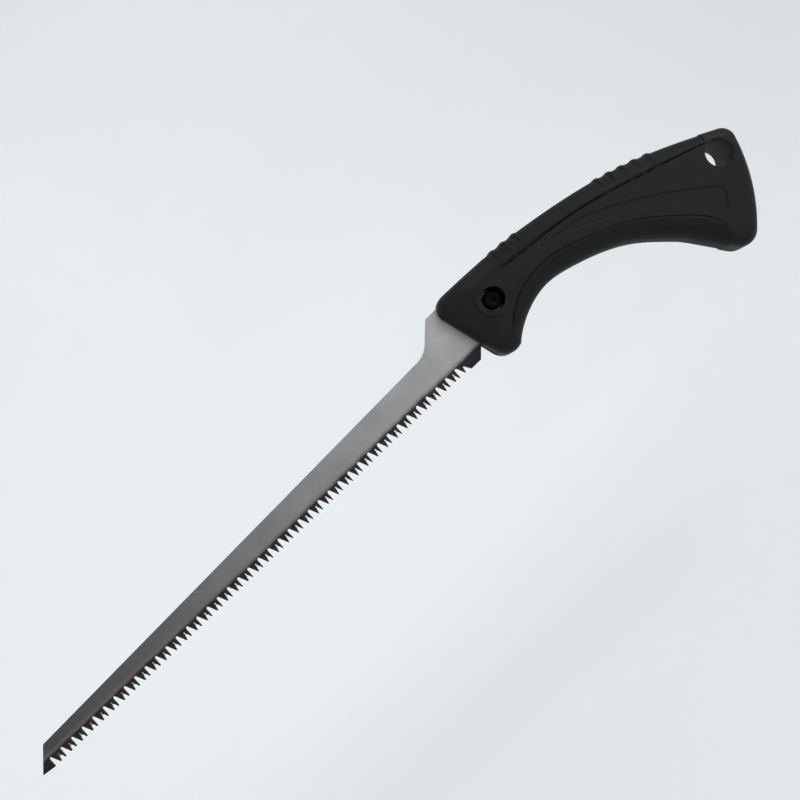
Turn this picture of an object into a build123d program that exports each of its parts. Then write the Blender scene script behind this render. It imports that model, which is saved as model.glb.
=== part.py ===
from build123d import *
import math
import os

# Drywall saw: a tapered pull-cut blade held in a moulded pistol-style handle by one clamp screw.
# Design axes: +X from the blade's toe to the butt of the handle, +Z from the teeth to the back of the
# blade, Y across the saw. (0, 0, 0) is where the clamp screw's axis crosses the middle of the blade.
# The finished parts are moved so that the centre of the hang hole is the origin.

# Blade, mm
BLADE_REACH = 283.0  # corner of the toe to the clamp screw
BLADE_T = 1.4
BACK_Z = 4.4  # straight back of the blade, above the clamp screw
TOE_LEAD = 9.3  # the toe's point, ahead of the corner of the back
TOE_DEPTH = 9.7  # the toe's point, below the back
TOE_R = 1.6
TOOTH_PAIR = 6.27  # a wide and a narrow gullet make one pair of teeth
TOOTH_GAP = 2.65  # point to point across a narrow gullet
FIRST_TOOTH = 0.4  # first point, behind the corner of the toe
FIRST_DEPTH = 10.9  # first point, below the back
TAPER = 1.93  # line of the points against the back, degrees
TOOTH_H = 4.5  # point to the root of a wide gullet
NARROW_H = 3.5  # point to the root of a narrow gullet
POINT_W = 0.34  # flat left on a tooth's point
RELIEF = 21.0  # toe side of every tooth, degrees from square
FACE = 16.0  # handle side of the first tooth of a pair
STEEP = 4.0  # handle side of the second tooth, which cuts on the pull
ROOT_ROUND = 0.65  # height of the rounded root of a gullet
HEEL_GAP = 31.8  # room behind the last tooth, up to the clamp screw
LUG_GAP = 1.3  # last tooth's point to the lug
LUG_NOTCH = 2.7  # height of the notch ahead of the lug
LUG_LEAD = 1.9
LUG_FOOT = 6.0
LUG_EXIT = 4.6
LUG_H = 3.3
NECK_START = 44.7  # the back starts to rise here, ahead of the clamp screw
NECK_R = 13.0
NECK_ANGLE = 43.0
SHOULDER_RISE = 11.4  # shoulder above the back
SHOULDER_R = 1.6
HEEL_LOW = 11.5  # lower edge at the handle, below the clamp screw
TANG_STEP = 13.0  # the tang narrows here, ahead of the clamp screw
TANG_HALF = 8.0
TANG_REAR = 9.0  # tang behind the clamp screw
TANG_R = 1.5

# Handle, mm
CORE_T = 22.0
CORE_ROUND = 6.4
NOSE_THIN = 3.2  # the nose tapers by this much on each side
NOSE_TAPER = 17.0
NOSE_BLEND = 25.0
NOSE_R = 7.0
HEEL_R = 8.5  # lower corner of the butt
BUTT_R = 7.2  # upper corner of the butt
SPINE_PROUD = 0.7  # the grips stand this far out of the core's sides
SPINE_ROUND = 9.4
BELLY_PROUD = 1.0
BELLY_ROUND = 9.6
BELLY_WALL = (1.5, 0.0, 3.0)  # from the belly grip's outer edge to the hard form under it
SPINE_WALL = (-0.5, 0.0, -2.6)
GRIP_SIDE = 3.0  # depth of the grips in the core's sides
BED_ROUND = 5.0
GRIP_EDGE = 2.2
RIB_W = 3.4
RIB_PROUD = 0.6
RIB_SIDE = 0.3  # the ribs' ends sink into the grip's sides
RIB_H = 17.0
RIB_ROUND = 8.4
RIB_PITCH = 6.5
RIB_GROUPS = ((16.5, 3), (76.5, 5))  # first rib's place behind the clamp screw, number of ribs
PANEL_SINK = 0.6
PANEL_R = 2.4
PANEL_SLOPE = 0.9  # width of the slope round the panel
HANG_R = 7.0
HANG_X = 125.8
HANG_Z = -27.8

# Slot and clamp hardware, mm
MOUTH_CLEAR = 0.35  # each side of the blade at the mouth of the slot
MOUTH_TOP = 0.5
MOUTH_LOW = 20.4  # foot of the mouth, below the clamp screw
POCKET_CLEAR = 0.3  # around the edges of the tang
CHEEK = 3.9  # seats of the washer and the nut, from the middle of the blade
SCREW_D = 5.0
THREAD_CLEAR = 0.05  # screw's radius inside the nut's bore
HOLE_CLEAR = 0.25  # clearance holes, on the radius
SCREW_LEN = 16.0
SCREW_POINT = 0.6
HEAD_D = 9.5
HEAD_H = 2.75
HEAD_DOME = 2.0
HEX_KEY = 3.0  # across the flats of the socket
KEY_DEPTH = 1.6
WASHER_D = 10.0
WASHER_T = 1.0
SPRING_D = 9.2
SPRING_T = 1.2
SPRING_GAP = 1.2
SPRING_SLANT = 20.0
RECESS_CLEAR = 0.7  # around the washer
BOSS_WALL = 2.9
BOSS_PROUD = 0.5
BOSS_EDGE = 0.45
NUT_AF = 8.0
NUT_H = 4.0
NUT_CLEAR = 0.1
NUT_CHAMFER = 0.5

BORE_R = SCREW_D / 2 + HOLE_CLEAR
RECESS_R = WASHER_D / 2 + RECESS_CLEAR
BOSS_R = RECESS_R + BOSS_WALL
BOSS_Y = CORE_T / 2 + BOSS_PROUD
HEAD_Y = -CHEEK - WASHER_T - SPRING_T  # underside of the head
SPINE_T = CORE_T + 2 * SPINE_PROUD
BELLY_T = CORE_T + 2 * BELLY_PROUD
BED_T = CORE_T - 2 * GRIP_SIDE
TO_HANG_HOLE = Pos(-HANG_X, 0, -HANG_Z)

# Outline of the handle in the side view, (x, z)
FRONT_TOP = (-23.9, 18.3)
FRONT_LOW = (-15.65, -17.95)
NUB_LOW = (-7.6, -24.35)
NUB_REAR = (-2.5, -22.6)
BELLY_PATH = (
    NUB_REAR, (9, -16.3), (24, -13.2), (41, -16.3), (57, -22.2), (73, -31.9), (85, -43.1), (96, -57.6),
)
BELLY_ENDS = ((0.8, 0.6), (0.57, -0.82))
BUTT_LOW = (106.6, -72.8)
BUTT_MID = (127.6, -51.6)
BUTT_TOP = (141.2, -22.2)
SPINE_PATH = (
    FRONT_TOP, (5, 16.8), (25, 15.1), (45, 12.0), (65, 7.9), (85, 2.4), (103, -4.0), (120, -11.6), BUTT_TOP,
)

# Edges of the soft grips and of the sunk side panels, (x, z)
CREASE_PATH = (
    (-4.9, -18.0), (4.3, -9.6), (14.1, -5.6), (24, -4.2), (33.6, -5.0), (53.1, -11.3), (73.6, -21.2),
    (92.1, -36.6), (100.6, -46.2), (103.2, -54.0),
)
CREASE_REAR = ((99.0, -63.0), (93.0, -74.0), (60.0, -46.0), (24.0, -24.0), (-3.5, -30.0))
VALLEY_PATH = (
    (14.1, 6.6), (33.6, 4.2), (53.1, 1.3), (72.6, -3.6), (92.1, -9.8), (110.6, -15.6), (124.0, -20.2),
)
VALLEY_REAR = ((131.0, -10.0), (131.0, 30.0), (12.0, 30.0), (11.2, 12.0))
FAR_UP = 60.0  # beyond the handle, above and below
FAR_DOWN = -140.0
PANEL_TOP = ((38.0, 0.5), (56.0, -2.4), (77.0, -12.3), (97.0, -25.0), (116.3, -40.6))
PANEL_LOW = ((108.8, -51.9), (97.6, -37.2), (84.6, -25.0), (68.0, -14.2), (52.4, -6.3), (38.0, 0.5))


def side(points):
    """Points of the side view as places on the middle plane."""
    return [Vector(x, 0, z) for x, z in points]


def chain(points):
    """Straight edges through points of the side view."""
    places = side(points)
    return [Line(a, b) for a, b in zip(places, places[1:])]


def plate(edges, thickness):
    """A plate centred on the middle plane, with a closed outline."""
    return extrude(make_face(edges), amount=thickness / 2, dir=(0, 1, 0), both=True)


def bar(sketch, y_from, y_to):
    """A bar along Y about the clamp screw, with the section `sketch`, from y_from to y_to."""
    return extrude(Plane.XZ.offset(-y_from) * sketch, amount=y_to - y_from, dir=(0, 1, 0))


def corner(solid, point, reach=1.5):
    """Edges along Y at one corner of the side view."""
    x, z = point
    upright = solid.edges().filter_by(Axis.Y)
    return [e for e in upright if math.hypot(e.center().X - x, e.center().Z - z) < reach]


def rims(solid, y_min):
    """Edges that run round a plate's two sides, outside y = -y_min and y = +y_min."""
    return [e for e in solid.edges() if abs((e @ 0).Y) > y_min and (e @ 0).Y * (e @ 1).Y > 0]


# ---- handle -----------------------------------------------------------------------------------------
def belly_edge():
    return Spline(*side(BELLY_PATH), tangents=side(BELLY_ENDS))


def spine_edge():
    return Spline(*side(SPINE_PATH))


def handle_outline():
    """The handle's edges in the side view, with the nose and butt corners still sharp."""
    belly = belly_edge()
    front = Line(*side((FRONT_TOP, FRONT_LOW)))
    nub = ThreePointArc(*side((FRONT_LOW, NUB_LOW, NUB_REAR)))
    low = Line(belly @ 1, *side((BUTT_LOW,)))
    butt = ThreePointArc(*side((BUTT_LOW, BUTT_MID, BUTT_TOP)))
    return [front, nub, belly, low, butt, spine_edge()]


def nose_taper():
    """Two wedges that thin the nose towards its front face, with a soft change of angle."""
    half = CORE_T / 2
    front = FRONT_TOP[0] - 1
    bend = FRONT_TOP[0] + NOSE_TAPER
    rear = bend + NOSE_BLEND / 2
    tip = half - NOSE_THIN * (bend - front) / NOSE_TAPER
    outline = Polyline((front, tip), (bend, half), (rear, half), (rear, CORE_T), (front, CORE_T), close=True)
    profile = make_face(outline)
    profile = fillet([v for v in profile.vertices() if abs(v.X - bend) < 0.01], NOSE_BLEND)
    wedge = extrude(Plane.XY.offset(-60) * profile, amount=120)
    return wedge + mirror(wedge, about=Plane.XZ)


def core_blank():
    """The hard moulding's outer form, before its slot, holes and grips."""
    body = plate(handle_outline(), CORE_T)
    for point, radius in ((FRONT_TOP, NOSE_R), (BUTT_LOW, HEEL_R), (BUTT_TOP, BUTT_R)):
        body = fillet(corner(body, point), radius)
    body -= nose_taper()
    return fillet(rims(body, 1.0), CORE_ROUND)


def roll(edge, far_z, thickness, radius):
    """A wide plate whose one curved edge is rounded into a roll. The edge runs on straight at its ends."""
    lead = (edge @ 0) - (edge % 0) * 30
    tail = (edge @ 1) + (edge % 1) * 30
    far = side(((tail.X, far_z), (lead.X, far_z)))
    ends = [Line(lead, edge @ 0), Line(edge @ 1, tail)]
    back = [Line(tail, far[0]), Line(*far), Line(far[1], lead)]
    body = plate([edge, *ends, *back], thickness)
    along = [e for e in rims(body, 1.0) if abs((e % 0.5).X) > 0.3 and abs(e.center().Z - far_z) > 1]
    return fillet(along, radius)


def zone(path, *rest):
    """The closed outline of a part of the side view, along a curved path and then straight."""
    return [Spline(*side(path)), *chain((path[-1], *rest, path[0]))]


def belly_zone():
    """The part of the side view that the belly grip fills, right through the handle."""
    return plate(zone(CREASE_PATH, *CREASE_REAR), BELLY_T)


def spine_zone():
    """The part of the side view that the spine grip fills, right through the handle."""
    return plate(zone(VALLEY_PATH, *VALLEY_REAR), SPINE_T)


def belly_blank():
    """The belly grip's outer form: a roll along the belly that meets the side in a rounded crease."""
    strip = roll(belly_edge(), FAR_UP, BELLY_T, BELLY_ROUND)
    strip &= roll(Spline(*side(CREASE_PATH)), FAR_DOWN, BELLY_T, GRIP_EDGE)
    return strip & belly_zone()


def spine_blank():
    """The spine grip's outer form."""
    strip = roll(spine_edge(), FAR_DOWN, SPINE_T, SPINE_ROUND)
    strip &= roll(Spline(*side(VALLEY_PATH)), FAR_UP, SPINE_T, GRIP_EDGE)
    return strip & spine_zone()


def ribs():
    """Low rounded ridges across the back of the handle, square to it."""
    spine = spine_edge()
    section = RectangleRounded(SPINE_T - 2 * RIB_SIDE, RIB_H, RIB_ROUND)
    ridge = extrude(Plane.YZ * section, amount=RIB_W / 2, both=True)
    ridge = fillet(ridge.edges().group_by(Axis.X)[0] + ridge.edges().group_by(Axis.X)[-1], RIB_W / 2 - 0.2)
    made = []
    for first, count in RIB_GROUPS:
        for i in range(count):
            place = spine.intersect(Plane.YZ.offset(first + i * RIB_PITCH)).vertices()[0]
            tangent = spine.tangent_at(spine.param_at_point(place))
            fall = math.degrees(math.atan2(-tangent.Z, tangent.X))
            made.append(Pos(place.X, 0, place.Z) * Rot(0, fall, 0) * Pos(0, 0, RIB_PROUD - RIB_H / 2) * ridge)
    return made


def belly_bed():
    """The hard form that the belly grip is moulded over."""
    return Pos(*BELLY_WALL) * roll(belly_edge(), FAR_UP, BED_T, BED_ROUND)


def spine_bed():
    """The hard form that the spine grip is moulded over."""
    return Pos(*SPINE_WALL) * roll(spine_edge(), FAR_DOWN, BED_T, BED_ROUND)


def box_outline(x_low, x_high, z_low, z_high):
    """A rectangle of the side view."""
    return chain(((x_low, z_low), (x_high, z_low), (x_high, z_high), (x_low, z_high), (x_low, z_low)))


def blade_slot():
    """The slot for the blade: a wide mouth through the nose, then a close pocket for the tang."""
    front = FRONT_TOP[0] - 5
    top = BACK_Z + SHOULDER_RISE + MOUTH_TOP
    mouth = plate(box_outline(front, -TANG_STEP + POCKET_CLEAR, -MOUTH_LOW, top), BLADE_T + 2 * MOUTH_CLEAR)
    reach = TANG_HALF + POCKET_CLEAR
    pocket = plate(box_outline(-TANG_STEP - 1, TANG_REAR + POCKET_CLEAR, -reach, reach), BLADE_T)
    return mouth + pocket


def side_panels():
    """What is cut away to sink the panel on each side of the grip, with a slope round it."""
    top = Spline(*side(PANEL_TOP))
    low = Spline(*side(PANEL_LOW))
    cut = plate([top, Line(*side((PANEL_TOP[-1], PANEL_LOW[0]))), low], CORE_T + 4)
    cut = fillet(corner(cut, PANEL_TOP[-1]) + corner(cut, PANEL_LOW[0]), PANEL_R)
    cut -= Box(2 * BLADE_REACH, CORE_T - 2 * PANEL_SINK, 2 * BLADE_REACH)
    foot = [e for e in cut.edges() if abs(abs(e.center().Y) - CORE_T / 2 + PANEL_SINK) < 0.01]
    return chamfer(foot, PANEL_SINK - 0.02, PANEL_SLOPE)


def hexagon(across_flats):
    return RegularPolygon(across_flats / 2, 6, major_radius=False)


def handle_core():
    """The hard moulding: nose, guard nub, sides and butt, cut for the grips, blade, clamp and hang hole."""
    body = core_blank()
    body += fillet(bar(Circle(BOSS_R), -BOSS_Y, BOSS_Y).edges(), BOSS_EDGE)
    body -= spine_zone() - spine_bed()
    body -= belly_zone() - belly_bed()
    body -= side_panels()
    body -= blade_slot()
    body -= bar(Circle(BORE_R), -BOSS_Y, BOSS_Y)
    body -= bar(Circle(RECESS_R), -BOSS_Y - 1, -CHEEK)
    body -= bar(hexagon(NUT_AF + 2 * NUT_CLEAR), CHEEK, BOSS_Y + 1)
    return body - Pos(HANG_X, 0, HANG_Z) * bar(Circle(HANG_R), -CORE_T, CORE_T)


def spine_grip():
    """The soft strip over the back of the handle. Its ribs fade out at the strip's lower edge."""
    strip = spine_blank()
    for rib in ribs():
        strip += rib & spine_zone()
    return strip - spine_bed()


# ---- blade ------------------------------------------------------------------------------------------
def on_teeth(x, height):
    """A place `height` above the line of the teeth's points, at x."""
    first = FIRST_TOOTH - BLADE_REACH
    return (x, BACK_Z - FIRST_DEPTH - math.tan(math.radians(TAPER)) * (x - first) + height)


def lean(height, degrees):
    return height * math.tan(math.radians(degrees))


def gullet(x_from, x_to, depth, face):
    """A gullet between the flats of two points: handle side of one tooth, root, toe side of the next."""
    shoulder = depth - ROOT_ROUND
    left = on_teeth(x_from + lean(shoulder, face), shoulder)
    right = on_teeth(x_to - lean(shoulder, RELIEF), shoulder)
    root = on_teeth((left[0] + right[0]) / 2, depth)
    sides = (on_teeth(x_from, 0), left, root, right, on_teeth(x_to, 0))
    return [Line(*side(sides[:2])), ThreePointArc(*side(sides[1:4])), Line(*side(sides[3:]))]


def tooth_places():
    """The teeth's points along the blade, in pairs, with a single one behind the last pair."""
    first = FIRST_TOOTH - BLADE_REACH
    pairs = int((BLADE_REACH - FIRST_TOOTH - HEEL_GAP) / TOOTH_PAIR)
    starts = [first + i * TOOTH_PAIR for i in range(pairs + 1)]
    return sorted(starts + [x + TOOTH_GAP for x in starts[:-1]])


def blade():
    """The saw blade: straight back, tapered row of teeth, rising neck, plain lug and a tang with one hole."""
    half = POINT_W / 2
    places = tooth_places()
    foot_x = places[0] - TOOTH_PAIR + TOOTH_GAP + half
    toe_x = -BLADE_REACH - TOE_LEAD
    toe = [(-BLADE_REACH, BACK_Z), (toe_x, BACK_Z - TOE_DEPTH), on_teeth(foot_x, 0)]

    edges = chain(toe) + gullet(foot_x, places[0] - half, TOOTH_H, STEEP)
    for i, (here, ahead) in enumerate(zip(places, places[1:])):
        depth, face = (NARROW_H, FACE) if i % 2 == 0 else (TOOTH_H, STEEP)
        edges += chain((on_teeth(here - half, 0), on_teeth(here + half, 0)))
        edges += gullet(here + half, ahead - half, depth, face)

    last = places[-1] + half
    notch = last + LUG_GAP
    foot = notch + LUG_LEAD
    heel = foot + LUG_FOOT + LUG_EXIT
    lug = [
        on_teeth(places[-1] - half, 0), on_teeth(last, 0), on_teeth(notch - ROOT_ROUND, LUG_NOTCH),
        on_teeth(notch, LUG_NOTCH), on_teeth(foot, LUG_NOTCH - LUG_H),
        on_teeth(foot + LUG_FOOT, LUG_NOTCH - LUG_H),
        (heel, -HEEL_LOW), (-TANG_STEP, -HEEL_LOW), (-TANG_STEP, -TANG_HALF), (TANG_REAR, -TANG_HALF),
        (TANG_REAR, TANG_HALF), (-TANG_STEP, TANG_HALF), (-TANG_STEP, BACK_Z + SHOULDER_RISE),
    ]
    turn = math.radians(NECK_ANGLE)
    neck = (-NECK_START, BACK_Z)
    slope = (neck[0] + NECK_R * math.sin(turn), BACK_Z + NECK_R * (1 - math.cos(turn)))
    shoulder = (slope[0] + (BACK_Z + SHOULDER_RISE - slope[1]) / math.tan(turn), BACK_Z + SHOULDER_RISE)
    edges += chain(lug + [shoulder, slope]) + chain((neck, toe[0]))
    edges += [TangentArc(*side((neck, slope)), tangent=(1, 0, 0))]
    body = plate(edges, BLADE_T)
    body = fillet(corner(body, toe[0], 0.2), TOE_R)
    body = fillet(corner(body, shoulder, 0.2), SHOULDER_R)
    tang = [e for z in (-TANG_HALF, TANG_HALF) for e in corner(body, (TANG_REAR, z), 0.2)]
    body = fillet(tang, TANG_R)
    return body - bar(Circle(BORE_R), -BLADE_T, BLADE_T)


# ---- clamp hardware ---------------------------------------------------------------------------------
def clamp_screw():
    """A button-head socket screw along Y, head on the -Y side. Its thread is a plain bar."""
    top = HEAD_Y - HEAD_H
    shank = bar(Circle(SCREW_D / 2 - THREAD_CLEAR), HEAD_Y, HEAD_Y + SCREW_LEN)
    shank = chamfer(shank.edges().group_by(Axis.Y)[-1], SCREW_POINT)
    head = bar(Circle(HEAD_D / 2), top, HEAD_Y)
    head = fillet(head.edges().group_by(Axis.Y)[0], HEAD_DOME)
    return shank + head - bar(hexagon(HEX_KEY), top, top + KEY_DEPTH)


def flat_washer():
    return bar(Circle(WASHER_D / 2) - Circle(BORE_R), -CHEEK - WASHER_T, -CHEEK)


def spring_washer():
    """A split lock washer, drawn pressed flat, with its slanted cut."""
    ring = bar(Circle(SPRING_D / 2) - Circle(BORE_R), HEAD_Y, HEAD_Y + SPRING_T)
    saw = Rot(0, 0, SPRING_SLANT) * Box(SPRING_GAP, 3 * SPRING_T, SPRING_D)
    return ring - Pos(0, HEAD_Y + SPRING_T / 2, SPRING_D / 2) * saw


def clamp_nut():
    """The hexagon nut, held from turning in its pocket, with its corners chamfered on both faces."""
    outer = CHEEK + NUT_H
    corner_r = NUT_AF / math.sqrt(3)
    bevelled = chamfer(bar(Circle(corner_r), CHEEK, outer).edges(), NUT_CHAMFER)
    return (bar(hexagon(NUT_AF), CHEEK, outer) & bevelled) - bar(Circle(SCREW_D / 2), CHEEK, outer)


def parts():
    return {
        "blade": blade(),
        "handle_core": handle_core(),
        "spine_grip": spine_grip(),
        "belly_grip": belly_blank() - belly_bed(),
        "clamp_screw": clamp_screw(),
        "flat_washer": flat_washer(),
        "spring_washer": spring_washer(),
        "clamp_nut": clamp_nut(),
    }


if __name__ == "__main__":
    os.makedirs("parts", exist_ok=True)
    for name, part in parts().items():
        export_step(TO_HANG_HOLE * part, f"parts/{name}.step")
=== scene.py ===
import math

import bmesh
import bpy
from mathutils import Matrix, Vector


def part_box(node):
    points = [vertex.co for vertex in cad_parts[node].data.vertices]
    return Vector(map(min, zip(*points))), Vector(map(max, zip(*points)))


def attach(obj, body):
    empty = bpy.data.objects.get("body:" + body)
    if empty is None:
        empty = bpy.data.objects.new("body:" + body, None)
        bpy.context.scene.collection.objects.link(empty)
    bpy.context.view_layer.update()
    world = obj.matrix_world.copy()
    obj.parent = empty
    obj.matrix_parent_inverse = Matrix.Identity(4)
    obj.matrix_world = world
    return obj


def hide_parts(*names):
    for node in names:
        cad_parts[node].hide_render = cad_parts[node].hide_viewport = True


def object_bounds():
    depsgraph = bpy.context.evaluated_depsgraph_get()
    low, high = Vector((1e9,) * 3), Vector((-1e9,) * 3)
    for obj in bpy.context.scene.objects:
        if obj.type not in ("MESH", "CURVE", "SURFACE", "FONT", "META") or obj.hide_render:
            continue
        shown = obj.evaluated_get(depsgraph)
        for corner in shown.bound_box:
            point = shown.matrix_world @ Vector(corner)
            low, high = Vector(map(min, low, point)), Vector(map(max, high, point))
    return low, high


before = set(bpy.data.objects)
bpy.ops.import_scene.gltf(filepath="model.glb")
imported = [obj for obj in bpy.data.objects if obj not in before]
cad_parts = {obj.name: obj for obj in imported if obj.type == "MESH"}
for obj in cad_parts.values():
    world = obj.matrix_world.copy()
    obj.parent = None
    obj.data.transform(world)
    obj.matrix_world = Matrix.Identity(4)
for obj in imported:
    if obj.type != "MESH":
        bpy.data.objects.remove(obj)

# A drywall saw: toothed steel blade, moulded handle with soft grips, and the clamp that joins them.
# Metres, in the frame of the CAD model: the origin is the centre of the hang hole, +X runs from the
# blade's toe to the butt of the handle, +Z from the teeth to the back of the blade. The near side is -Y.
CAD_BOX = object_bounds()
MM = 0.001
MERGE_GAP = 0.002 * MM  # vertices closer than this are one

# Blade
BLADE_LOW, BLADE_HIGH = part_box("blade")
BLADE_T = BLADE_HIGH.y - BLADE_LOW.y
TOE_LEAD = 9.3 * MM  # the toe's point, ahead of the corner of the back
FIRST_TOOTH = 0.4 * MM  # first point, behind the corner of the back
TOOTH_COUNT = 81
TOOTH_PAIR = 6.27 * MM
TOOTH_GAP = 2.65 * MM  # point to point across a narrow gullet
SHOULDER_RISE = 11.4 * MM  # the shoulder at the handle, above the back
POINT_DEPTH = 10.9 * MM  # first point, below the back
TAPER = math.radians(1.93)
TOOTH_H = 4.5 * MM
POINT_HALF = 0.17 * MM  # half the flat left on a tooth's point
RELIEF = math.radians(21.0)  # toe side of every tooth
FACE = math.radians(16.0)  # handle side of the first tooth of a pair
STEEP = math.radians(4.0)  # handle side of the second tooth
FLAT_ANGLE = math.radians(0.5)  # faces closer in angle than this are one

BACK_Z = BLADE_HIGH.z - SHOULDER_RISE
FIRST_X = BLADE_LOW.x + TOE_LEAD + FIRST_TOOTH
POINTS_Z = BACK_Z - POINT_DEPTH  # height of the first point

# Ground facets of the teeth, and the stones that grind them
FACET_RUN = 0.95 * MM  # width of a facet on the blade's side
FACET_LEFT = 0.25 * MM  # thickness left at the cutting edge
FACET_LONG = 4.1 * MM  # a stone's length in a wide gullet
FACET_SHORT = 2.4 * MM  # and in a narrow one
STONE_LEAD = 0.4 * MM  # a stone starts this far outside the tooth's point
STONE_T = 0.8 * MM
TO_TOE, TO_HANDLE = -1.0, 1.0
NEAR, FAR = -1.0, 1.0

# Clamp
SCREW_LOW, SCREW_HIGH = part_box("clamp_screw")
SCREW_X = (SCREW_LOW.x + SCREW_HIGH.x) / 2
SCREW_Z = (SCREW_LOW.z + SCREW_HIGH.z) / 2
HEAD_H = 2.75 * MM
UNDER_HEAD = SCREW_LOW.y + HEAD_H
SHANK_R = 2.45 * MM
SHANK_BITE = 0.2 * MM  # the shank starts this far inside the head
POINT_CHAMFER = 0.6 * MM
THREAD_PITCH = 0.8 * MM
THREAD_DEPTH = 0.46 * MM
THREAD_STEPS = 30  # in one turn
THREAD_SECTION = (  # share of the pitch along the screw, share of the depth in from the crest
    (0.0, 0.0),
    (0.06, 0.0),
    (0.44, 1.0),
    (0.62, 1.0),
    (1.0, 0.0),
)
SCREW_SMOOTH = 40.0  # degrees

# Colours: stops of a ramp, each a position and a colour
STEEL_STOPS = (
    (0.25, (0.23, 0.23, 0.235)),
    (0.5, (0.29, 0.29, 0.295)),
    (0.75, (0.35, 0.35, 0.355)),
)
TEMPER_STOPS = (
    (0.0, (0.018, 0.018, 0.024)),
    (0.30, (0.028, 0.025, 0.038)),
    (0.52, (0.022, 0.016, 0.016)),
    (0.66, (0.050, 0.034, 0.024)),
    (0.82, (0.17, 0.145, 0.11)),
    (1.0, (0.22, 0.21, 0.19)),
)
PLASTIC_STOPS = (
    (0.3, (0.0040, 0.0040, 0.0050)),
    (0.55, (0.0055, 0.0055, 0.0070)),
    (0.8, (0.008, 0.008, 0.010)),
)
RUBBER_STOPS = (
    (0.3, (0.0045, 0.0046, 0.0046)),
    (0.55, (0.0065, 0.0067, 0.0066)),
    (0.8, (0.010, 0.0102, 0.010)),
)
BLACK_STEEL_STOPS = ((0.3, (0.002, 0.002, 0.0022)), (0.7, (0.005, 0.0049, 0.005)))
ZINC_STOPS = ((0.3, (0.30, 0.31, 0.325)), (0.7, (0.44, 0.45, 0.46)))
BACKDROP_STOPS = ((0.3, (0.845, 0.862, 0.87)), (0.7, (0.865, 0.878, 0.885)))
WORN_STEEL = (0.16, 0.155, 0.15, 1.0)

# Painted shade and light: the blade's steel colour is darkened towards the toe and lightened towards the
# handle, standing in for how the light falls along it
PAINTED_SHADE_RUN = 0.29  # from the toe, the length over which it changes
PAINTED_SHADE_AT_TOE = (0.31, 0.31, 0.315, 1.0)
PAINTED_LIGHT_AT_HANDLE = (1.3, 1.29, 1.28, 1.0)

# Temper along the teeth, in millimetres above the teeth's roots
TEMPER_WAVER = 1.6
TEMPER_SPAN = (-4.5, 3.2)  # the stops are spread over this
TEMPER_FADE = (0.2, 3.0)  # and fade into the plain steel over this

# Studio
CAMERA_PLACE = Vector((-0.2286, -0.4437, 0.0273))
LOOK = Vector((0.0904, 0.9959, -0.0034))
UP = Vector((0.7121, -0.0622, 0.6993))
VIEW_ANGLE = math.radians(45.24)
VIEW_REACH = (0.01, 20.0)  # nearest and farthest that the camera sees
FLOOR_DROP = 0.12  # floor below the saw
BOWL_R = 2.2
BOWL_BEND = 1.1
BOWL_H = 0.9
BEND_STEPS = 16
BOWL_STEPS = 64
BOWL_SMOOTH = 60.0  # degrees
BOWL_MERGE = 1.0 * MM
SKY_COLOUR = (0.935, 0.95, 0.955, 1.0)
SKY_STRENGTH = 0.8
LIGHTS = (  # name, place and target from the saw's middle, size, watts, spread in degrees
    ("key", (1.0, -1.0, 0.65), (0.0, 0.0, 0.0), (0.9, 0.9), 4.0, 100.0),
    ("wall", (0.0, 0.6, 1.2), (-0.2, 2.2, 0.5), (1.2, 0.9), 6.5, 180.0),
)


# ---- materials --------------------------------------------------------------------------------------
class Num:
    """A number that varies over a surface. Operators on it add Math nodes to its material."""

    def __init__(self, finish, socket):
        self.finish = finish
        self.socket = socket

    def math(self, operation, first, second):
        return self.finish.node("ShaderNodeMath", {"operation": operation}, {0: first, 1: second})

    def __add__(self, other):
        return self.math("ADD", self, other)

    __radd__ = __add__

    def __sub__(self, other):
        return self.math("SUBTRACT", self, other)

    def __rsub__(self, first):
        return self.math("SUBTRACT", first, self)

    def __mul__(self, other):
        return self.math("MULTIPLY", self, other)

    __rmul__ = __mul__

    def __truediv__(self, other):
        return self.math("DIVIDE", self, other)

    def step(self, start, end):
        """0 up to start and 1 from end on, with a soft change between them."""
        sockets = {"Value": self, "From Min": start, "From Max": end, "To Min": 0.0, "To Max": 1.0}
        return self.finish.node("ShaderNodeMapRange", {"interpolation_type": "SMOOTHSTEP"}, sockets)


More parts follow.
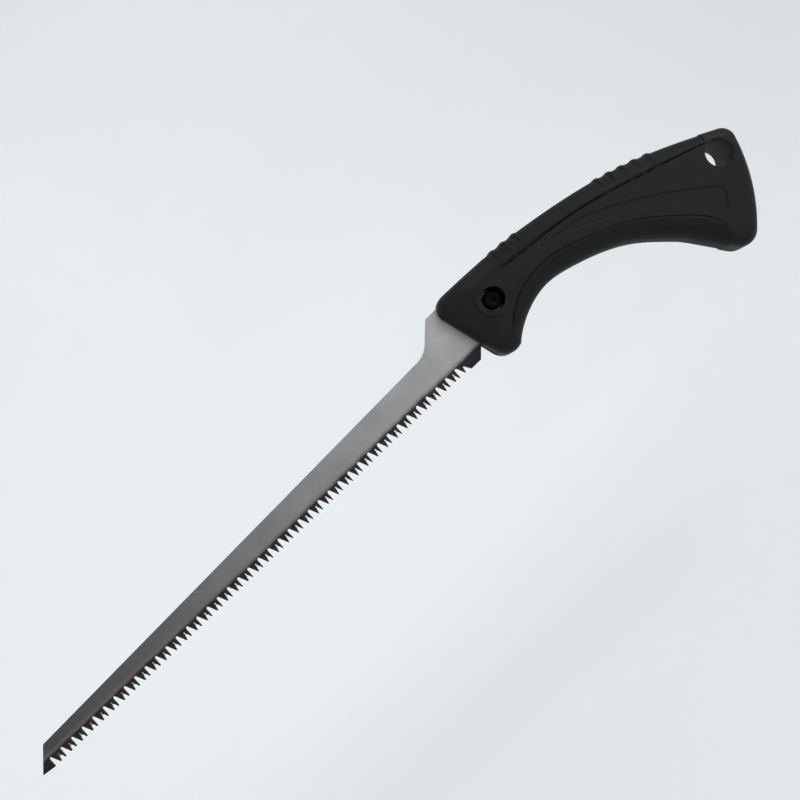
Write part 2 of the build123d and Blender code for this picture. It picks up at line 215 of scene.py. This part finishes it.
class Finish:
    """A procedural material round one Principled shader."""

    def __init__(self, name, **sockets):
        self.material = bpy.data.materials.new(name)
        self.material.use_nodes = True
        self.tree = self.material.node_tree
        self.shader = self.tree.nodes["Principled BSDF"]
        self.set(**sockets)
        self.place = self.node("ShaderNodeTexCoord", output="Object")

    def node(self, kind, settings=None, sockets=None, output=0):
        """Any node: its settings first, then the values or links of its sockets."""
        made = self.tree.nodes.new(kind)
        for name, value in (settings or {}).items():
            if name == "stops":
                self.stops(made.color_ramp, value)
            else:
                setattr(made, name, value)
        for key, value in (sockets or {}).items():
            self.join(made.inputs[key], value)
        return Num(self, made.outputs[output])

    def join(self, socket, value):
        if isinstance(value, Num):
            self.tree.links.new(value.socket, socket)
        else:
            socket.default_value = value

    def stops(self, ramp, stops):
        while len(ramp.elements) < len(stops):
            ramp.elements.new(1.0)
        for element, (position, colour) in zip(ramp.elements, stops):
            element.position = position
            element.color = (*colour, 1.0)

    def set(self, **sockets):
        """Sets sockets of the Principled shader: roughness, base_color and so on."""
        for name, value in sockets.items():
            title = name.replace("_", " ").title().replace("Ior", "IOR")
            self.join(self.shader.inputs[title], value)

    def axes(self):
        """The three coordinates of a point, in metres."""
        split = self.node("ShaderNodeSeparateXYZ", sockets={0: self.place}).socket.node
        return [Num(self, output) for output in split.outputs]

    def stretched(self, scale):
        """The place, scaled by its own amount along each axis, for streaks and grinding marks."""
        return self.node("ShaderNodeMapping", sockets={"Vector": self.place, "Scale": scale})

    def noise(self, scale, detail, roughness=0.5, vector=None):
        sockets = {"Vector": vector or self.place, "Scale": scale, "Detail": detail, "Roughness": roughness}
        return self.node("ShaderNodeTexNoise", sockets=sockets)

    def mix(self, share, first, second, blend="MIX"):
        settings = {"data_type": "RGBA", "blend_type": blend}
        return self.node("ShaderNodeMix", settings, {0: share, 6: first, 7: second}, output=2)

    def ramp(self, value, stops):
        return self.node("ShaderNodeValToRGB", {"stops": stops}, {0: value})

    def bump(self, height, strength, distance, below=None):
        sockets = {"Height": height, "Strength": strength, "Distance": distance}
        if below:
            sockets["Normal"] = below
        return self.node("ShaderNodeBump", sockets=sockets)


def blade_steel():
    """Ground and hardened spring steel: cross grinding, straw, brown and blue temper along the teeth."""
    f = Finish("blade_steel", metallic=0.82)
    x, _, z = f.axes()
    roots = POINTS_Z + TOOTH_H - math.tan(TAPER) * (x - FIRST_X)
    above = (z - roots) / MM
    waves = f.noise(140.0, 3.0)
    heat = above + (waves - 0.5) * TEMPER_WAVER
    grind = f.noise(1.0, 4.0, 0.6, f.stretched((9000.0, 300.0, 260.0)))
    cloud = f.noise(55.0, 4.0, 0.6)
    rub = f.noise(1.0, 5.0, 0.65, f.stretched((60.0, 300.0, 900.0)))

    grey = f.ramp(cloud * 0.55 + grind * 0.45, STEEL_STOPS)
    # Painted shade: the steel's colour is multiplied darker towards the toe and lighter near the handle, in
    # place of the light's fall-off
    painted_shade_share = (x - BLADE_LOW.x).step(0.0, PAINTED_SHADE_RUN)
    painted_shade = f.mix(painted_shade_share, PAINTED_SHADE_AT_TOE, PAINTED_LIGHT_AT_HANDLE)
    grey = f.mix(1.0, grey, painted_shade, "MULTIPLY")
    band = f.ramp(heat.step(*TEMPER_SPAN), TEMPER_STOPS)
    share = 1 - heat.step(*TEMPER_FADE)
    f.set(base_color=f.mix(share, grey, band))
    f.set(roughness=0.34 + cloud * 0.12 + grind * 0.10 + share * 0.06)
    bumped = f.bump(grind, 0.16, 0.02 * MM)
    f.set(normal=f.bump(rub, 0.10, 0.03 * MM, bumped))
    return f.material


def moulded_plastic():
    """Hard black moulding with a fine spark texture and faint scuffs."""
    f = Finish("moulded_plastic", specular_ior_level=0.18)
    spark = f.noise(5200.0, 3.0, 0.6)
    patch = f.noise(38.0, 4.0, 0.6)
    scuff = f.noise(1.0, 4.0, 0.7, f.stretched((90.0, 500.0, 700.0)))
    f.set(base_color=f.ramp(patch * 0.7 + spark * 0.3, PLASTIC_STOPS))
    f.set(roughness=0.46 + patch * 0.10 + scuff * 0.06)
    bumped = f.bump(spark, 0.32, 0.035 * MM)
    f.set(normal=f.bump(scuff, 0.05, 0.05 * MM, bumped))
    return f.material


def soft_rubber():
    """Matt thermoplastic rubber with a fine grain."""
    f = Finish("soft_rubber", specular_ior_level=0.15)
    grain = f.noise(3600.0, 3.0, 0.65)
    patch = f.noise(45.0, 4.0, 0.6)
    f.set(base_color=f.ramp(patch * 0.75 + grain * 0.25, RUBBER_STOPS))
    f.set(roughness=0.56 + patch * 0.12)
    f.set(normal=f.bump(grain, 0.35, 0.04 * MM))
    return f.material


def black_oxide():
    """Blackened steel with a fine grain and faint bright wear."""
    f = Finish("black_oxide", specular_ior_level=0.03)
    grain = f.noise(2600.0, 3.0, 0.6)
    wear = f.noise(600.0, 4.0, 0.7).step(0.56, 0.72)
    dark = f.ramp(grain, BLACK_STEEL_STOPS)
    f.set(base_color=f.mix(wear * 0.12, dark, WORN_STEEL))
    f.set(roughness=0.30 + grain * 0.18)
    f.set(normal=f.bump(grain, 0.15, 0.02 * MM))
    return f.material


def zinc_plate():
    """Zinc plate, slightly clouded, with faint turning marks."""
    f = Finish("zinc_plate", metallic=0.95)
    cloud = f.noise(420.0, 4.0, 0.65)
    turned = f.noise(1.0, 3.0, 0.6, f.stretched((1500.0, 9000.0, 1500.0)))
    f.set(base_color=f.ramp(cloud, ZINC_STOPS))
    f.set(roughness=0.24 + cloud * 0.2)
    f.set(normal=f.bump(turned, 0.12, 0.015 * MM))
    return f.material


# ---- meshes -----------------------------------------------------------------------------------------
def made_object(bm, name, material, smooth=None):
    """An object at the origin with its own mesh. `smooth` is the largest angle that shades smooth."""
    mesh = bpy.data.meshes.new(name)
    bm.to_mesh(mesh)
    bm.free()
    mesh.materials.append(material)
    piece = bpy.data.objects.new(name, mesh)
    bpy.context.scene.collection.objects.link(piece)
    if smooth is not None:
        mesh.shade_smooth()
        mesh.set_sharp_from_angle(angle=math.radians(smooth))
    return piece


def node_copy(node):
    """A merged copy of a CAD node's mesh."""
    bm = bmesh.new()
    bm.from_mesh(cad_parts[node].data)
    bmesh.ops.remove_doubles(bm, verts=bm.verts, dist=MERGE_GAP)
    bmesh.ops.recalc_face_normals(bm, faces=bm.faces)
    return bm


def everything(bm):
    return [*bm.verts, *bm.edges, *bm.faces]


def apply_modifiers(piece):
    """Gives a piece the mesh that its modifiers make, and takes them off."""
    shown = piece.evaluated_get(bpy.context.evaluated_depsgraph_get())
    mesh = bpy.data.meshes.new_from_object(shown)
    piece.modifiers.clear()
    piece.data = mesh


def cut_off(bm, y, outwards):
    """Removes what lies past a plane across Y, on the side that `outwards` points to, and closes the cut."""
    cut = bmesh.ops.bisect_plane(
        bm, geom=everything(bm), plane_co=(0.0, y, 0.0), plane_no=(0.0, outwards, 0.0), clear_outer=True
    )
    rim = [edge for edge in cut["geom_cut"] if isinstance(edge, bmesh.types.BMEdge)]
    bmesh.ops.triangle_fill(bm, edges=rim, use_beauty=True)


def add_stone(bm, point, away, lean, side, length):
    """A block whose one face grinds a facet on one flank of a tooth."""
    across = BLADE_T - FACET_LEFT
    slope = math.atan2(FACET_RUN, across)
    block = bmesh.ops.create_cube(bm, size=1.0)["verts"]
    size = Matrix.Diagonal((STONE_T, 3 * BLADE_T, length, 1.0))
    edge_y = side * (BLADE_T / 2 - across)
    shift = Matrix.Translation((away * STONE_T / 2, 0.0, length / 2 - STONE_LEAD))
    tilt = Matrix.Rotation(-away * side * slope, 4, "Z")
    lean_turn = Matrix.Rotation(away * lean, 4, "Y")
    place = Matrix.Translation(point + Vector((away * POINT_HALF, edge_y, 0.0)))
    bmesh.ops.transform(bm, matrix=place @ lean_turn @ tilt @ shift @ size, verts=block)


def grinding_stones():
    """Blocks for both flanks of every tooth: the near side of a pair's first, the far side of its second."""
    bm = bmesh.new()
    for tooth in range(TOOTH_COUNT):
        pair, second = divmod(tooth, 2)
        x = FIRST_X + pair * TOOTH_PAIR + second * TOOTH_GAP
        point = Vector((x, 0.0, POINTS_Z - math.tan(TAPER) * (x - FIRST_X)))
        if second:
            add_stone(bm, point, TO_TOE, RELIEF, FAR, FACET_SHORT)
            add_stone(bm, point, TO_HANDLE, STEEP, FAR, FACET_LONG)
        else:
            add_stone(bm, point, TO_TOE, RELIEF, NEAR, FACET_LONG)
            add_stone(bm, point, TO_HANDLE, FACE, NEAR, FACET_SHORT)
    return bm


def saw_blade(material):
    """The blade with bevelled facets ground on its teeth."""
    bm = node_copy("blade")
    bmesh.ops.dissolve_limit(bm, angle_limit=FLAT_ANGLE, verts=bm.verts, edges=bm.edges)
    piece = made_object(bm, "saw_blade", material)
    stones = made_object(grinding_stones(), "stones", material)
    cut = piece.modifiers.new("grind", "BOOLEAN")
    cut.operation = "DIFFERENCE"
    cut.solver = "EXACT"
    cut.use_self = True
    cut.object = stones
    apply_modifiers(piece)
    bpy.data.objects.remove(stones)
    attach(piece, "handle")
    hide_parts("blade")


def threaded_shank():
    """A closed bar with a helical thread, from inside the screw's head to its chamfered point."""
    bm = bmesh.new()
    start = UNDER_HEAD - 2 * THREAD_PITCH
    crest_x = SCREW_X + SHANK_R
    profile = [
        bm.verts.new((crest_x - depth * THREAD_DEPTH, start + painted_shade_share * THREAD_PITCH, SCREW_Z))
        for painted_shade_share, depth in THREAD_SECTION
    ]
    edges = [bm.edges.new(pair) for pair in zip(profile, profile[1:])]
    turns = math.ceil((SCREW_HIGH.y - start) / THREAD_PITCH) + 1
    bmesh.ops.spin(
        bm,
        geom=[*profile, *edges],
        cent=(SCREW_X, 0.0, SCREW_Z),
        axis=(0.0, 1.0, 0.0),
        angle=2 * math.pi * turns,
        steps=turns * THREAD_STEPS,
        dvec=(0.0, THREAD_PITCH / THREAD_STEPS, 0.0),
        use_duplicate=False,
    )
    bmesh.ops.remove_doubles(bm, verts=bm.verts, dist=MERGE_GAP)
    cut_off(bm, UNDER_HEAD - SHANK_BITE, -1.0)
    cut_off(bm, SCREW_HIGH.y, 1.0)
    for vert in bm.verts:
        off = Vector((vert.co.x - SCREW_X, 0.0, vert.co.z - SCREW_Z))
        limit = SHANK_R - max(0.0, vert.co.y - (SCREW_HIGH.y - POINT_CHAMFER))
        if off.length > limit:
            vert.co -= off * (1 - limit / off.length)
    bmesh.ops.recalc_face_normals(bm, faces=bm.faces)
    return bm


def clamp_screw(material):
    """The button-head screw with its hex socket and its thread."""
    bm = node_copy("clamp_screw")
    cut_off(bm, UNDER_HEAD, 1.0)
    shank = threaded_shank()
    shank_mesh = bpy.data.meshes.new("shank")
    shank.to_mesh(shank_mesh)
    shank.free()
    bm.from_mesh(shank_mesh)
    bpy.data.meshes.remove(shank_mesh)
    piece = made_object(bm, "button_head_screw", material, SCREW_SMOOTH)
    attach(piece, "screw")
    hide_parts("clamp_screw")


# ---- studio -----------------------------------------------------------------------------------------
def camera():
    data = bpy.data.cameras.new("camera")
    data.sensor_fit = "HORIZONTAL"
    data.angle = VIEW_ANGLE
    data.clip_start, data.clip_end = VIEW_REACH
    made = bpy.data.objects.new("camera", data)
    look = LOOK.normalized()
    right = look.cross(UP).normalized()
    axes = Matrix((right, right.cross(look), -look)).transposed()
    made.matrix_world = Matrix.Translation(CAMERA_PLACE) @ axes.to_4x4()
    bpy.context.scene.collection.objects.link(made)
    bpy.context.scene.camera = made


def backdrop():
    """A pale floor that curves up all round into a wall."""
    f = Finish("backdrop", specular_ior_level=0.1)
    cloud = f.noise(2.5, 3.0)
    f.set(base_color=f.ramp(cloud, BACKDROP_STOPS))
    f.set(roughness=0.85 + cloud * 0.05)

    bm = bmesh.new()
    centre = Vector(((CAD_BOX[0].x + CAD_BOX[1].x) / 2, 0.0, CAD_BOX[0].z - FLOOR_DROP))
    start = bm.verts.new(centre)
    flat = bm.verts.new(centre + Vector((BOWL_R - BOWL_BEND, 0.0, 0.0)))
    bm.edges.new((start, flat))
    bend = bmesh.ops.spin(
        bm,
        geom=[flat],
        cent=flat.co + Vector((0.0, 0.0, BOWL_BEND)),
        axis=(0.0, 1.0, 0.0),
        angle=-math.pi / 2,
        steps=BEND_STEPS,
        use_duplicate=False,
    )
    tip = [vert for vert in bend["geom_last"] if isinstance(vert, bmesh.types.BMVert)]
    top = bmesh.ops.extrude_vert_indiv(bm, verts=tip)["verts"]
    bmesh.ops.translate(bm, verts=top, vec=(0.0, 0.0, BOWL_H))
    bmesh.ops.spin(
        bm,
        geom=everything(bm),
        cent=centre,
        axis=(0.0, 0.0, 1.0),
        angle=2 * math.pi,
        steps=BOWL_STEPS,
        use_merge=True,
        use_duplicate=False,
    )
    bmesh.ops.remove_doubles(bm, verts=bm.verts, dist=BOWL_MERGE)
    floor = made_object(bm, "floor", f.material, BOWL_SMOOTH)


def light(name, place, target, size, watts, spread):
    data = bpy.data.lights.new(name, "AREA")
    data.shape = "RECTANGLE"
    data.size, data.size_y = size
    data.energy = watts
    data.spread = math.radians(spread)
    made = bpy.data.objects.new(name, data)
    made.location = place
    made.rotation_euler = (target - place).to_track_quat("-Z", "Y").to_euler()
    bpy.context.scene.collection.objects.link(made)


def studio():
    """An even pale sky, and one light for the saw and one for the wall behind it."""
    bpy.context.scene.view_settings.view_transform = "Standard"
    world = bpy.data.worlds.new("studio")
    world.use_nodes = True
    sky = world.node_tree.nodes["Background"]
    sky.inputs["Color"].default_value = SKY_COLOUR
    sky.inputs["Strength"].default_value = SKY_STRENGTH
    bpy.context.scene.world = world
    middle = (CAD_BOX[0] + CAD_BOX[1]) / 2
    for name, place, target, size, watts, spread in LIGHTS:
        light(name, middle + Vector(place), middle + Vector(target), size, watts, spread)


camera()
backdrop()
studio()

STEEL = blade_steel()
PLASTIC = moulded_plastic()
RUBBER = soft_rubber()
BLACK = black_oxide()
ZINC = zinc_plate()
NODE_FINISH = {
    "handle_core": PLASTIC,
    "spine_grip": RUBBER,
    "belly_grip": RUBBER,
    "spring_washer": BLACK,
    "flat_washer": ZINC,
    "clamp_nut": ZINC,
}
for node, material in NODE_FINISH.items():
    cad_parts[node].material_slots[0].material = material
saw_blade(STEEL)
clamp_screw(BLACK)
